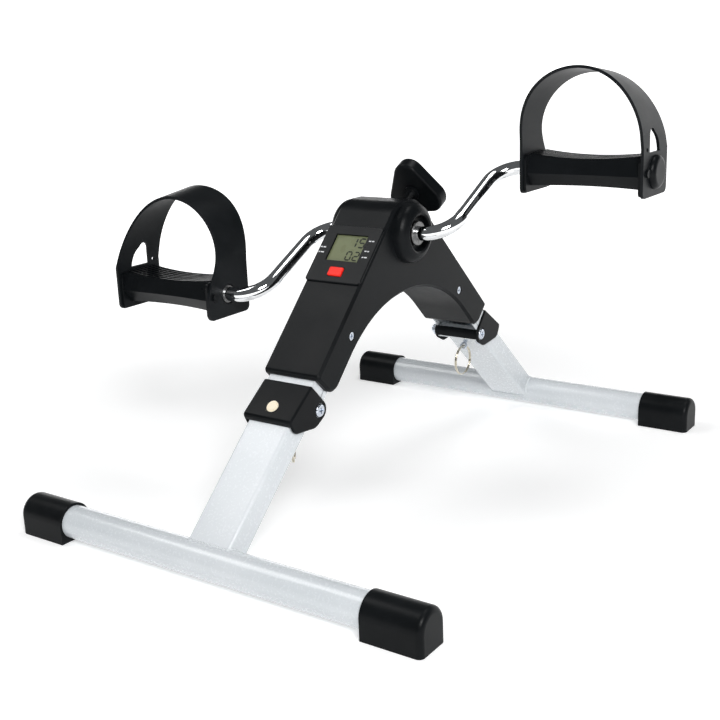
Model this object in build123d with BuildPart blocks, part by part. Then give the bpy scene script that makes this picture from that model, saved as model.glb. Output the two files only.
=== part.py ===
"""Folding under-desk pedal exerciser.

Frame: +X is the user's right, +Y points away from the user, +Z is up.  The origin is on the
floor, midway between the two feet.  The crank turns about X.  The "far" end is +Y and the
"near" end is -Y; the two ends are the same parts turned half a turn about Z.
Millimetres throughout.
"""

import os
from math import cos, radians, sin, sqrt, tan

from build123d import *

os.makedirs("parts", exist_ok=True)

# ------------------------------------------------------------------ driving dimensions
# feet
FOOT_SPREAD = 241.0  # feet centre lines at y = +-241
FOOT_RADIUS = 13.35
FOOT_HEIGHT = 15.0  # centre line above the floor
FOOT_HALF_LENGTH = 192.5  # over the caps
FOOT_WALL = 1.5
CAP_LENGTH = 48.0
CAP_HALF_WIDTH = 15.25
CAP_END_WALL = 2.0

# body arms: two outer faces at 45 degrees would meet at y = 0, z = APEX
APEX = 264.8
ARM_DEPTH = 28.1  # from the outer face to the inner face, square to the arm
ARCH_RADIUS = 126.3
HEAD_TOP = 248.5
HEAD_RADIUS = 26.0
ARM_END = {"far": 0.0, "near": 3.5}  # where the housing stops, along each arm
HOUSING_HALF_WIDTH = 27.7
HOUSING_WALL = 2.2
EDGE_CHAMFER = 2.2

# crank
AXLE_HEIGHT = 221.6
CRANK_RADIUS = 101.2
CRANK_TILT = 26.9  # right arm above the horizontal, towards +Y
ARM_X = 65.0
ROD_RADIUS = 6.0
ROD_BEND = 25.0
ROD_END_X = 202.0
RUNNING_GAP = 0.05

# leg and its hinge, in arm coordinates (along the arm, square into the arm)
HINGE_ALONG = 18.7
HINGE_DEPTH = 23.7
LEG_TILT = 42.5  # below the horizontal
LEG_WIDTH = 40.5
LEG_DEPTH = 21.5
LEG_WALL = 1.5
LEG_CORNER = 2.6
HINGE_BELOW_FACE = 21.2  # hinge axis under the leg's outer face
BARREL_RADIUS = 6.8
BOLT_RADIUS = 3.0
PIN_ALONG = 15.8  # lock pin, from the hinge down the leg
PIN_RADIUS = 3.0
PIN_TIP = 0.2  # drawn back, below the leg's outer face
PIN_STEM_RADIUS = 2.0
PIN_COLLAR = (6.0, 7.5)  # depths of the collar that the spring pushes
EYE_DEPTH = 28.4  # centre of the eye that carries the ring, pin drawn back
SOCKET_RADIUS = 4.9
SOCKET_FACE_RADIUS = 3.8  # of the closed end that shows
SOCKET = (-0.5, -4.6, -5.5)  # depths of the socket's mouth, bottom and closed outer end
RING_RADIUS = 14.0
RING_WIRE = 1.0
RING_LEAN = {"far": 8.0, "near": 0.0}  # the far ring hangs against the leg's inner face
PIN_TWIST = {"far": 0.0, "near": -28.0}  # each pin has come to rest turned by this much
STOP_SCREW_X = 14.0

# sheet steel frame
SHEET = 1.5
CHEEK_INNER = 20.6
WEB_SLANT = 9.1  # the web leans out of the arm by this much towards the hinge
WEB_START = (10.5, 3.29)  # a point on the web's outer face, arm coordinates
WEB_END_ALONG = 41.6
COVER_HALF_WIDTH = 23.7
COVER_WALL = 1.6

# display, in arm coordinates of the near arm
DISPLAY_TOP = -138.0
DISPLAY_BOTTOM = -82.5
DISPLAY_PROUD = 1.8

# tension knob
KNOB_TILT = 27.0
KNOB_START = 55.35  # underside, from the crank axis
KNOB_THICK = 13.0
KNOB_APOTHEM = 20.7
KNOB_CORNER = 13.0
KNOB_TURN = 26.0
STUD_RADIUS = 4.0
DRUM_RADIUS = 12.0

# pedal, in its own frame: x outwards along the spindle, z up
PEDAL_INNER = 97.3
PEDAL_OUTER = 205.0
STRAP_THICK = 2.5
STRAP_TOP = 85.5  # at the strap's front edge, which is 33 mm in front of the spindle
STRAP_SLOPE = 0.13  # fall of the arch towards the back
STRAP_START = 50.0
PEDAL_HALF_DEPTH = 25.5
PEDAL_LOW = -19.0

# ------------------------------------------------------------------ shared geometry
ENDS = {"far": 1, "near": -1}
SIDES = {"right": 1, "left": -1}


def arm(along, depth, out=1):
    """(y, z) of a point given along an arm and square into it."""
    y = APEX / 2 + (along - depth) / sqrt(2)
    z = APEX / 2 - (along + depth) / sqrt(2)
    return (out * y, z)


def leg(along, depth):
    """(y, z) of a point on the far leg: down the leg from the hinge, and in from its outer face."""
    down, inward = along, depth - HINGE_BELOW_FACE
    y = HINGE[0] + down * cos(radians(LEG_TILT)) - inward * sin(radians(LEG_TILT))
    z = HINGE[1] - down * sin(radians(LEG_TILT)) - inward * cos(radians(LEG_TILT))
    return (y, z)


def web(along, inset=0.0):
    """Depth of the steel web at a place along the arm."""
    slope = tan(radians(WEB_SLANT))
    return WEB_START[1] - slope * (along - WEB_START[0]) + inset / cos(radians(WEB_SLANT))


def leg_face(along):
    """Depth of an opened leg's outer face at a place along the arm."""
    lean = radians(45 - LEG_TILT)
    return HINGE_DEPTH - HINGE_BELOW_FACE / cos(lean) - tan(lean) * (along - HINGE_ALONG)


def save(part, name, place=None):
    """Label a finished piece, put it in its place and write it."""
    piece = place.from_local_coords(part) if place else part
    piece.label = name
    export_step(piece, f"parts/{name}.step")


HINGE = arm(HINGE_ALONG, HINGE_DEPTH)
CRANK_Y = CRANK_RADIUS * cos(radians(CRANK_TILT))
CRANK_Z = CRANK_RADIUS * sin(radians(CRANK_TILT))
KNOB_Y = cos(radians(KNOB_TILT))
KNOB_Z = sin(radians(KNOB_TILT))
SQUARE_IN = (-sin(radians(LEG_TILT)), -cos(radians(LEG_TILT)))  # into the far leg, (y, z)
DOWN_LEG = (cos(radians(LEG_TILT)), -sin(radians(LEG_TILT)))
EYE = leg(PIN_ALONG, EYE_DEPTH)

end_places = {
    "far": Plane.XY,
    "near": Plane(origin=(0, 0, 0), x_dir=(-1, 0, 0), z_dir=(0, 0, 1)),
}
pedal_places = {
    side: Plane(
        origin=(0, sign * CRANK_Y, AXLE_HEIGHT + sign * CRANK_Z), x_dir=(sign, 0, 0), z_dir=(0, 0, 1)
    )
    for side, sign in SIDES.items()
}
axle_plane = Plane(origin=(0, 0, AXLE_HEIGHT), x_dir=(0, 1, 0), z_dir=(1, 0, 0))


def knob_plane(distance):
    """Plane square to the knob's axis, this far out from the crank axis; its x is the object's X."""
    return Plane(
        origin=(0, distance * KNOB_Y, AXLE_HEIGHT + distance * KNOB_Z),
        x_dir=(1, 0, 0),
        z_dir=(0, KNOB_Y, KNOB_Z),
    )


def pin_plane(depth):
    """Plane square to the far lock pin, at a depth from the leg's outer face, looking inwards."""
    y, z = leg(PIN_ALONG, depth)
    return Plane(origin=(0, y, z), x_dir=(1, 0, 0), z_dir=(0, *SQUARE_IN))


display_middle = (DISPLAY_TOP + DISPLAY_BOTTOM) / 2


def display_plane(height=0.0):
    """Plane of the display's face (raised by height), its y pointing up the slope."""
    y, z = arm(display_middle, -DISPLAY_PROUD - height, -1)
    return Plane(origin=(0, y, z), x_dir=(1, 0, 0), z_dir=(0, -1, 1))


# ------------------------------------------------------------------ feet
for end in ENDS:
    with BuildPart() as foot_tube:
        with BuildSketch(Plane.YZ.offset(CAP_END_WALL - FOOT_HALF_LENGTH)):
            with Locations((FOOT_SPREAD, FOOT_HEIGHT)):
                Circle(FOOT_RADIUS)
                Circle(FOOT_RADIUS - FOOT_WALL, mode=Mode.SUBTRACT)
        extrude(amount=2 * (FOOT_HALF_LENGTH - CAP_END_WALL))
    save(foot_tube.part, f"{end}_foot_tube", end_places[end])

    for side, sign in SIDES.items():
        with BuildPart() as cap:
            with BuildSketch(Plane.YZ.offset(sign * FOOT_HALF_LENGTH)):
                with Locations((FOOT_SPREAD, CAP_HALF_WIDTH)):
                    Circle(CAP_HALF_WIDTH)
                with Locations((FOOT_SPREAD, CAP_HALF_WIDTH / 2)):
                    Rectangle(2 * CAP_HALF_WIDTH, CAP_HALF_WIDTH)
            extrude(amount=-sign * CAP_LENGTH)
            outer_rim = cap.faces().sort_by(Axis.X)[-1 if sign > 0 else 0].edges()
            fillet(outer_rim.sort_by(Axis.Z)[1:], radius=4.5)
            with BuildSketch(Plane.YZ.offset(sign * (FOOT_HALF_LENGTH - CAP_END_WALL))):
                with Locations((FOOT_SPREAD, FOOT_HEIGHT)):
                    Circle(FOOT_RADIUS)
            extrude(amount=-sign * CAP_LENGTH, mode=Mode.SUBTRACT)
        # the half turn swaps left and right at the near end
        name = side if end == "far" else {"left": "right", "right": "left"}[side]
        save(cap.part, f"{end}_{name}_foot_cap", end_places[end])

# ------------------------------------------------------------------ legs, hinge barrels, lock pins
for end in ENDS:
    with BuildPart() as leg_tube:
        with BuildSketch(Plane(origin=(0, *leg(2, LEG_DEPTH / 2)), x_dir=(1, 0, 0), z_dir=(0, *DOWN_LEG))):
            RectangleRounded(LEG_WIDTH, LEG_DEPTH, LEG_CORNER)
            RectangleRounded(
                LEG_WIDTH - 2 * LEG_WALL, LEG_DEPTH - 2 * LEG_WALL, LEG_CORNER - LEG_WALL, mode=Mode.SUBTRACT
            )
        extrude(amount=148)
        with BuildSketch(Plane.YZ):
            with BuildLine():
                Polyline(leg(12, -1), leg(12, 0), leg(2, 16), leg(-2, 16), leg(-2, -1), close=True)
            make_face()
        extrude(amount=LEG_WIDTH, both=True, mode=Mode.SUBTRACT)
        with BuildSketch(Plane.YZ):
            with Locations(HINGE):
                Circle(BARREL_RADIUS)
            with Locations((FOOT_SPREAD, FOOT_HEIGHT)):
                Circle(FOOT_RADIUS)
            with Locations((FOOT_SPREAD + FOOT_RADIUS, FOOT_HEIGHT - FOOT_RADIUS)):
                Rectangle(3 * FOOT_RADIUS, 2 * FOOT_RADIUS)
        extrude(amount=LEG_WIDTH, both=True, mode=Mode.SUBTRACT)
        with BuildSketch(pin_plane(-1)):
            Circle(PIN_RADIUS + RUNNING_GAP)
        extrude(amount=LEG_DEPTH / 2, mode=Mode.SUBTRACT)
        with BuildSketch(pin_plane(LEG_DEPTH / 2)):
            Circle(PIN_STEM_RADIUS + RUNNING_GAP)
            with Locations((STOP_SCREW_X, 0)):
                Circle(1.5)
        extrude(amount=LEG_DEPTH, mode=Mode.SUBTRACT)
    save(leg_tube.part, f"{end}_leg_tube", end_places[end])

    with BuildPart() as hinge_barrel:
        with BuildSketch(Plane.YZ.offset(-LEG_WIDTH / 2)):
            with Locations(HINGE):
                Circle(BARREL_RADIUS)
                Circle(BOLT_RADIUS + RUNNING_GAP, mode=Mode.SUBTRACT)
        extrude(amount=LEG_WIDTH)
    save(hinge_barrel.part, f"{end}_hinge_barrel", end_places[end])

    with BuildPart() as lock_pin:
        with BuildSketch(pin_plane(PIN_TIP)):
            Circle(PIN_RADIUS)
        extrude(amount=PIN_COLLAR[0] - PIN_TIP)
        chamfer(lock_pin.edges().filter_by(GeomType.CIRCLE).sort_by(Axis.Z)[-1], 0.5)
        with BuildSketch(pin_plane(PIN_COLLAR[0])):
            Circle(4.3)
        extrude(amount=PIN_COLLAR[1] - PIN_COLLAR[0])
        with BuildSketch(pin_plane(PIN_COLLAR[1])):
            Circle(PIN_STEM_RADIUS)
        extrude(amount=EYE_DEPTH - 2.8 - PIN_COLLAR[1])
        twist = radians(PIN_TWIST[end])
        hole_way = (sin(twist), -SQUARE_IN[1] * cos(twist), SQUARE_IN[0] * cos(twist))
        eye_plane = Plane(origin=(0, *EYE), z_dir=hole_way)
        with BuildSketch(eye_plane):
            Circle(3.6)
        extrude(amount=0.8, both=True)
        with BuildSketch(eye_plane):
            Circle(2.2)
        extrude(amount=2, both=True, mode=Mode.SUBTRACT)
    save(lock_pin.part, f"{end}_lock_pin", end_places[end])

    with BuildPart() as pin_spring:
        with BuildSketch(pin_plane(PIN_COLLAR[1])):
            Circle(4.1)
            Circle(2.9, mode=Mode.SUBTRACT)
        extrude(amount=LEG_DEPTH - LEG_WALL - PIN_COLLAR[1])
    save(pin_spring.part, f"{end}_pin_spring", end_places[end])

    with BuildPart() as stop_screw:
        with BuildSketch(pin_plane(LEG_DEPTH - 3.0)):
            with Locations((STOP_SCREW_X, 0)):
                Circle(1.5)
        extrude(amount=3.0)
        with BuildSketch(pin_plane(LEG_DEPTH)):
            with Locations((STOP_SCREW_X, 0)):
                Circle(3.0)
        extrude(amount=1.8)
    save(stop_screw.part, f"{end}_stop_screw", end_places[end])

    # the ring hangs in the upright plane that holds the eye's hole
    flat = sqrt(hole_way[0] ** 2 + hole_way[1] ** 2)
    outward = (hole_way[0] / flat, hole_way[1] / flat)
    lean = radians(RING_LEAN[end])
    ring_middle = (
        -RING_RADIUS * sin(lean) * outward[0],
        EYE[0] - RING_RADIUS * sin(lean) * outward[1],
        EYE[1] - RING_RADIUS * cos(lean),
    )
    with BuildPart() as pull_ring:
        Torus(RING_RADIUS, RING_WIRE)
    ring_place = Plane(origin=ring_middle, x_dir=(0, 0, 1), z_dir=(outward[1], -outward[0], 0))
    ring = ring_place.from_local_coords(pull_ring.part)
    save(ring, f"{end}_pull_ring", end_places[end])

# ------------------------------------------------------------------ folded steel frame
NUT_PLATE_START, NUT_PLATE_END, NUT_PLATE_HALF = 22.0, 26.0, 7.0
SCREW_SPOTS = {"near": (-46.0, 17.2), "far": (-52.0, 19.5)}
SCREW_BOSS = 4.8
FRAME_INNER_DEPTH = 24.3
FRAME_LOW = 188.0
slope_down = tan(radians(45 - WEB_SLANT))
web_at = arm(WEB_START[0], WEB_START[1])
web_apex = web_at[1] + slope_down * web_at[0]
inner_sum = APEX - sqrt(2) * FRAME_INNER_DEPTH

with BuildPart() as main_frame:
    with BuildSketch(Plane.YZ) as cheek:
        for out in ENDS.values():
            with BuildLine():
                Polyline(
                    (0, web_apex),
                    arm(WEB_END_ALONG, web(WEB_END_ALONG), out),
                    arm(45.0, 6.0, out),
                    arm(23.4, 28.6, out),
                    arm(HINGE_ALONG, HINGE_DEPTH, out),
                    arm(12.5, FRAME_INNER_DEPTH, out),
                    (out * (inner_sum - FRAME_LOW), FRAME_LOW),
                    (0, FRAME_LOW),
                    close=True,
                )
            make_face()
            with Locations(arm(HINGE_ALONG, HINGE_DEPTH, out)):
                Circle(7.0)
        with Locations((0, AXLE_HEIGHT)):
            Circle(19.0)
    extrude(amount=CHEEK_INNER + SHEET, both=True)
    with BuildSketch(Plane(origin=(0, 0, AXLE_HEIGHT), x_dir=(0, KNOB_Y, KNOB_Z), z_dir=(1, 0, 0))):
        with Locations((NUT_PLATE_END / 2, 0)):
            Rectangle(NUT_PLATE_END, 2 * NUT_PLATE_HALF + 1)
    extrude(amount=CHEEK_INNER + SHEET, both=True)
    # hollow between the cheeks, leaving the two webs
    with BuildSketch(Plane.YZ):
        with BuildLine():
            Polyline(
                (0, APEX),
                arm(-95, web(-95), -1),
                arm(-95, web(-95, SHEET), -1),
                arm(60, web(60, SHEET), -1),
                (-110, 0),
                (110, 0),
                arm(60, web(60, SHEET), 1),
                arm(-95, web(-95, SHEET), 1),
                arm(-95, web(-95), 1),
                close=True,
            )
        make_face()
    extrude(amount=CHEEK_INNER, both=True, mode=Mode.SUBTRACT)
    # plate that carries the tension nut, between the cheeks
    with BuildSketch(knob_plane(NUT_PLATE_START)):
        Rectangle(2 * CHEEK_INNER, 2 * NUT_PLATE_HALF)
    extrude(amount=NUT_PLATE_END - NUT_PLATE_START)
    with BuildSketch(knob_plane(NUT_PLATE_START - 5)):
        Circle(6.0)
    extrude(amount=15, mode=Mode.SUBTRACT)
    # axle, hinge, screw and pin holes
    with BuildSketch(Plane.YZ):
        with Locations((0, AXLE_HEIGHT)):
            Circle(9.0)
        for end, out in ENDS.items():
            with Locations(arm(HINGE_ALONG, HINGE_DEPTH, out)):
                Circle(BOLT_RADIUS)
            with Locations(arm(*SCREW_SPOTS[end], out)):
                Circle(SCREW_BOSS + 0.3)
    extrude(amount=40, both=True, mode=Mode.SUBTRACT)
    for place in end_places.values():
        socket_hole = place.from_local_coords(Solid.make_cylinder(SOCKET_RADIUS, 9, pin_plane(-7)))
        add(socket_hole, mode=Mode.SUBTRACT)
save(main_frame.part, "main_frame")

with BuildPart() as tension_nut:
    with BuildSketch(knob_plane(NUT_PLATE_START)):
        Circle(6.0)
        Circle(STUD_RADIUS + RUNNING_GAP, mode=Mode.SUBTRACT)
    extrude(amount=NUT_PLATE_END - NUT_PLATE_START)
    with BuildSketch(knob_plane(NUT_PLATE_END)):
        RegularPolygon(6.0, 6, major_radius=False)
        Circle(STUD_RADIUS + RUNNING_GAP, mode=Mode.SUBTRACT)
    extrude(amount=1.6)
save(tension_nut.part, "tension_nut")

# ------------------------------------------------------------------ hinge covers, bolts and nuts
for end in ENDS:
    with BuildPart() as hinge_cover:
        with BuildSketch(Plane.YZ) as outline:
            with BuildLine():
                for along, depth, radius in (
                    (HINGE_ALONG, HINGE_DEPTH, 8.8),
                    (10.8, 3.4, 1.8),
                    (42.6, -0.3, 3.2),
                    (39.8, 6.5, 8.0),
                    (26.0, 20.0, 10.2),
                ):
                    CenterArc(arm(along, depth), radius, 0, 360)
            make_hull()
        extrude(amount=COVER_HALF_WIDTH, both=True)
        fillet(hinge_cover.edges().filter_by(Axis.X, reverse=True), radius=1.6)
        with BuildSketch(Plane.YZ):
            add(outline.sketch_local)
            offset(amount=-COVER_WALL, mode=Mode.REPLACE)
        extrude(amount=CHEEK_INNER + SHEET, both=True, mode=Mode.SUBTRACT)
        # open below and inside, where the leg swings, and above, where the frame enters
        with BuildSketch(Plane.YZ):
            with BuildLine():
                Polyline(
                    arm(HINGE_ALONG, HINGE_DEPTH),
                    arm(HINGE_ALONG - 4.3, HINGE_DEPTH + 12),
                    arm(60, HINGE_DEPTH + 12),
                    arm(60, leg_face(60) - 0.4),
                    arm(35, leg_face(35) - 0.4),
                    close=True,
                )
            make_face()
            with BuildLine():
                Polyline(arm(5, web(5)), arm(14, web(14)), arm(14, 24.6), arm(5, 24.6), close=True)
            make_face()
        extrude(amount=CHEEK_INNER + SHEET, both=True, mode=Mode.SUBTRACT)
        # wide holes, so that the bolt's head and nut bear on the steel
        with BuildSketch(Plane.YZ):
            with Locations(HINGE):
                Circle(6.1)
        extrude(amount=40, both=True, mode=Mode.SUBTRACT)
        with BuildSketch(pin_plane(-7)):
            Circle(SOCKET_RADIUS)
        extrude(amount=9, mode=Mode.SUBTRACT)
    save(hinge_cover.part, f"{end}_hinge_cover", end_places[end])

hinges = [(out * HINGE[0], HINGE[1]) for out in ENDS.values()]
with BuildPart() as hinge_bolts:
    with BuildSketch(Plane.YZ.offset(-30.0)):
        with Locations(*hinges):
            Circle(BOLT_RADIUS)
    extrude(amount=30.0 + CHEEK_INNER + SHEET)
    with BuildSketch(Plane.YZ.offset(CHEEK_INNER + SHEET)):
        with Locations(*hinges):
            Circle(5.3)
    extrude(amount=2.6)
    fillet(hinge_bolts.edges().group_by(Axis.X)[-1], radius=1.6)
    with BuildSketch(Plane.YZ.offset(CHEEK_INNER + SHEET + 2.6)):
        with Locations(*hinges):
            Rectangle(5.0, 1.2)
            Rectangle(1.2, 5.0)
    extrude(amount=-1.6, mode=Mode.SUBTRACT)
save(hinge_bolts.part, "hinge_bolts")

with BuildPart() as hinge_nuts:
    with BuildSketch(Plane.YZ.offset(-CHEEK_INNER - SHEET)):
        with Locations(*hinges):
            RegularPolygon(5.0, 6, major_radius=False)
            Circle(BOLT_RADIUS, mode=Mode.SUBTRACT)
    extrude(amount=-5.5)
save(hinge_nuts.part, "hinge_nuts")

# blind sockets, through cover and web, that the lock pins spring into
with BuildPart() as far_socket:
    with BuildSketch(pin_plane(SOCKET[2])):
        Circle(SOCKET_RADIUS)
    extrude(amount=SOCKET[0] - SOCKET[2])
    with BuildSketch(pin_plane(SOCKET[2])):
        Circle(SOCKET_RADIUS)
        Circle(SOCKET_FACE_RADIUS, mode=Mode.SUBTRACT)
    extrude(amount=0.6, mode=Mode.SUBTRACT)
    with BuildSketch(pin_plane(SOCKET[1])):
        Circle(PIN_RADIUS + RUNNING_GAP)
    extrude(amount=SOCKET[0] - SOCKET[1], mode=Mode.SUBTRACT)
with BuildPart() as lock_sockets:
    for place in end_places.values():
        add(place.from_local_coords(far_socket.part))
save(lock_sockets.part, "lock_sockets")

# ------------------------------------------------------------------ housing shells
HUB_BASE_RADIUS = 25.6
HUB_RIM_RADIUS = 17.0
HUB_RECESS_RADIUS = 15.3
HUB_FACE_X = 39.2
HUB_FLOOR_X = 33.5
BUSH_RADIUS = 9.0
inner_apex = APEX - sqrt(2) * ARM_DEPTH
shoulder = APEX - HEAD_TOP

with BuildSketch(Plane.YZ) as side_outline:
    with BuildLine():
        Polyline(
            arm(ARM_END["near"], 0, -1),
            (-shoulder, HEAD_TOP),
            (shoulder, HEAD_TOP),
            arm(ARM_END["far"], 0),
            arm(ARM_END["far"], ARM_DEPTH),
            (0, inner_apex),
            arm(ARM_END["near"], ARM_DEPTH, -1),
            close=True,
        )
    make_face()
    # inside the sketch a point's x is the object's y, and its y is the object's z
    fillet(side_outline.vertices().filter_by(lambda v: v.Y > HEAD_TOP - 1), radius=HEAD_RADIUS)
    arch_top = side_outline.vertices().filter_by(lambda v: abs(v.X) < 1 and v.Y < HEAD_TOP - 1)
    fillet(arch_top, radius=ARCH_RADIUS)
    fillet(side_outline.vertices().filter_by(lambda v: v.Y < 115), radius=10.0)
    fillet(side_outline.vertices().filter_by(lambda v: abs(v.X) > 130), radius=3.5)

with BuildPart() as shell:
    with BuildSketch(Plane.YZ):
        add(side_outline.sketch_local)
    extrude(amount=HOUSING_HALF_WIDTH, both=True)
    rim = shell.edges().filter_by(lambda e: abs(abs(e.center().X) - HOUSING_HALF_WIDTH) < 0.01)
    outer_rim = rim.filter_by(lambda e: e.center().Z + abs(e.center().Y) > APEX - 18)
    chamfer(outer_rim, EDGE_CHAMFER)
    for side, sign in SIDES.items():
        with BuildSketch(Plane.XZ.offset(0)):
            with BuildLine():
                base = (sign * (HOUSING_HALF_WIDTH - HOUSING_WALL), AXLE_HEIGHT + HUB_BASE_RADIUS)
                foot = (sign * HOUSING_HALF_WIDTH, AXLE_HEIGHT + HUB_BASE_RADIUS)
                crest = (sign * HUB_FACE_X, AXLE_HEIGHT + HUB_RIM_RADIUS)
                lip = (sign * (HUB_FACE_X - 0.8), AXLE_HEIGHT + HUB_RECESS_RADIUS)
                inside = (sign * (HOUSING_HALF_WIDTH - HOUSING_WALL), AXLE_HEIGHT + HUB_RECESS_RADIUS)
                Line(base, foot)
                shoulder_point = (sign * (HUB_FACE_X - 6.2), AXLE_HEIGHT + HUB_BASE_RADIUS - 0.6)
                bow = (sign * (HUB_FACE_X - 1.9), AXLE_HEIGHT + HUB_BASE_RADIUS - 4.1)
                Line(foot, shoulder_point)
                ThreePointArc(shoulder_point, bow, crest)
                Line(crest, lip)
                Line(lip, inside)
                Line(inside, base)
            make_face()
        revolve(axis=Axis((0, 0, AXLE_HEIGHT), (1, 0, 0)))
    # hollow
    with BuildSketch(Plane.YZ):
        add(side_outline.sketch_local)
        offset(amount=-HOUSING_WALL, mode=Mode.REPLACE)
    extrude(amount=HOUSING_HALF_WIDTH - HOUSING_WALL, both=True, mode=Mode.SUBTRACT)
    # cup floors with the bush holes
    for side, sign in SIDES.items():
        with BuildSketch(Plane.YZ.offset(sign * (HOUSING_HALF_WIDTH - HOUSING_WALL))):
            with Locations((0, AXLE_HEIGHT)):
                Circle(HUB_RECESS_RADIUS + 1.0)
        extrude(amount=sign * (HUB_FLOOR_X - HOUSING_HALF_WIDTH + HOUSING_WALL))
        with BuildSketch(Plane.YZ.offset(sign * (HOUSING_HALF_WIDTH - HOUSING_WALL - 1))):
            with Locations((0, AXLE_HEIGHT)):
                Circle(BUSH_RADIUS)
        extrude(amount=sign * 20, mode=Mode.SUBTRACT)
    # frame openings at the ends of the arms
    with BuildSketch(Plane.YZ):
        for out in ENDS.values():
            with BuildLine():
                Polyline(
                    arm(-8, web(-8) - 0.4, out),
                    arm(6, web(6) - 0.4, out),
                    arm(6, 25.0, out),
                    arm(-8, 25.0, out),
                    close=True,
                )
            make_face()
    extrude(amount=CHEEK_INNER + SHEET + 0.4, both=True, mode=Mode.SUBTRACT)
    # display opening
    with BuildSketch(display_plane(-DISPLAY_PROUD)):
        Rectangle(45.4, 47.4)
    extrude(amount=-6, mode=Mode.SUBTRACT)
    # tension stud hole
    with BuildSketch(knob_plane(20)):
        Circle(STUD_RADIUS + 0.5)
    extrude(amount=30, mode=Mode.SUBTRACT)

SCREW_RADIUS = 1.9
for side, sign in SIDES.items():
    with BuildPart() as half_shell:
        add(shell.part)
        for end, out in ENDS.items():
            with BuildSketch(Plane.YZ):
                with Locations(arm(*SCREW_SPOTS[end], out)):
                    Circle(SCREW_BOSS)
            extrude(amount=sign * (HOUSING_HALF_WIDTH - 1))
        split(bisect_by=Plane.YZ, keep=Keep.TOP if sign > 0 else Keep.BOTTOM)
        for end, out in ENDS.items():
            spot = arm(*SCREW_SPOTS[end], out)
            with BuildSketch(Plane.YZ):
                with Locations(spot):
                    Circle(SCREW_RADIUS)
            extrude(amount=sign * (40 if sign > 0 else 18), mode=Mode.SUBTRACT)
            if sign > 0:
                with BuildSketch(Plane.YZ.offset(HOUSING_HALF_WIDTH - 3.0)):
                    with Locations(spot):
                        Circle(3.6)
                extrude(amount=5, mode=Mode.SUBTRACT)
    save(half_shell.part, f"housing_{side}")

with BuildPart() as housing_screws:
    for end, out in ENDS.items():
        spot = arm(*SCREW_SPOTS[end], out)
        with BuildSketch(Plane.YZ.offset(-16.0)):
            with Locations(spot):
                Circle(SCREW_RADIUS)
        extrude(amount=16.0 + HOUSING_HALF_WIDTH - 3.0)
        with BuildSketch(Plane.YZ.offset(HOUSING_HALF_WIDTH - 3.0)):
            with Locations(spot):
                Circle(3.4)
        extrude(amount=2.4)
        with BuildSketch(Plane.YZ.offset(HOUSING_HALF_WIDTH - 0.6)):
            with Locations(spot):
                Rectangle(4.0, 0.9)
                Rectangle(0.9, 4.0)
        extrude(amount=-1.4, mode=Mode.SUBTRACT)
save(housing_screws.part, "housing_screws")

# ------------------------------------------------------------------ crank
with BuildPart() as crank_bushes:
    for sign in SIDES.values():
        with BuildSketch(axle_plane.offset(sign * (CHEEK_INNER - 2.0))):
            Circle(12.0)
        extrude(amount=sign * 2.0)
        with BuildSketch(axle_plane.offset(sign * CHEEK_INNER)):
            Circle(BUSH_RADIUS)
        extrude(amount=sign * (HUB_FLOOR_X + 0.5 - CHEEK_INNER))
    with BuildSketch(axle_plane):
        Circle(ROD_RADIUS + RUNNING_GAP)
    extrude(amount=60, both=True, mode=Mode.SUBTRACT)
save(crank_bushes.part, "crank_bushes")

with BuildPart() as crank_collars:
    for sign in SIDES.values():
        with BuildSketch(axle_plane.offset(sign * (HUB_FLOOR_X + 0.8))):
            Circle(10.3)
            Circle(ROD_RADIUS, mode=Mode.SUBTRACT)
        extrude(amount=sign * 3.0)
    outer_rims = crank_collars.edges().filter_by(GeomType.CIRCLE).filter_by(lambda e: e.radius > 10)
    chamfer(outer_rims.filter_by(lambda e: abs(e.center().X) > HUB_FLOOR_X + 3), 0.6)
save(crank_collars.part, "crank_collars")

rod_plane = Plane(
    origin=(0, 0, AXLE_HEIGHT),
    x_dir=(1, 0, 0),
    z_dir=(0, -sin(radians(CRANK_TILT)), cos(radians(CRANK_TILT))),
)
with BuildPart() as crank_rod:
    with BuildLine(rod_plane):
        FilletPolyline(
            (-ROD_END_X, -CRANK_RADIUS),
            (-ARM_X, -CRANK_RADIUS),
            (-ARM_X, 0),
            (ARM_X, 0),
            (ARM_X, CRANK_RADIUS),
            (ROD_END_X, CRANK_RADIUS),
            radius=ROD_BEND,
        )
    with BuildSketch(Plane(origin=(-ROD_END_X, -CRANK_Y, AXLE_HEIGHT - CRANK_Z), z_dir=(1, 0, 0))):
        Circle(ROD_RADIUS)
    sweep()
save(crank_rod.part, "crank_rod")

with BuildPart() as brake_drum:
    with BuildSketch(axle_plane):
        Circle(DRUM_RADIUS)
        Circle(ROD_RADIUS, mode=Mode.SUBTRACT)
    extrude(amount=10.0, both=True)
    with BuildSketch(axle_plane.offset(-10.0)):
        with Locations((-8.8, 0)):
            Circle(2.0)
    extrude(amount=3.0, mode=Mode.SUBTRACT)
save(brake_drum.part, "brake_drum")

with BuildPart() as sensor_magnet:
    with BuildSketch(axle_plane.offset(-10.0)):
        with Locations((-8.8, 0)):
            Circle(2.0)
    extrude(amount=3.0)
save(sensor_magnet.part, "sensor_magnet")

with BuildPart() as reed_switch:
    with BuildSketch(axle_plane.offset(-CHEEK_INNER)):
        with Locations((-14.5, 0)):
            Rectangle(5.0, 16.0)
    extrude(amount=7.0)
save(reed_switch.part, "reed_switch")

# ------------------------------------------------------------------ resistance brake
PAD_GAP = 0.5
with BuildPart() as brake_pad:
    with BuildSketch(knob_plane(DRUM_RADIUS - 3)):
        Rectangle(18.0, 12.0)
    extrude(amount=7.0)
    with BuildSketch(axle_plane):
        Circle(DRUM_RADIUS + PAD_GAP)
    extrude(amount=20.0, both=True, mode=Mode.SUBTRACT)
save(brake_pad.part, "brake_pad")

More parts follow.
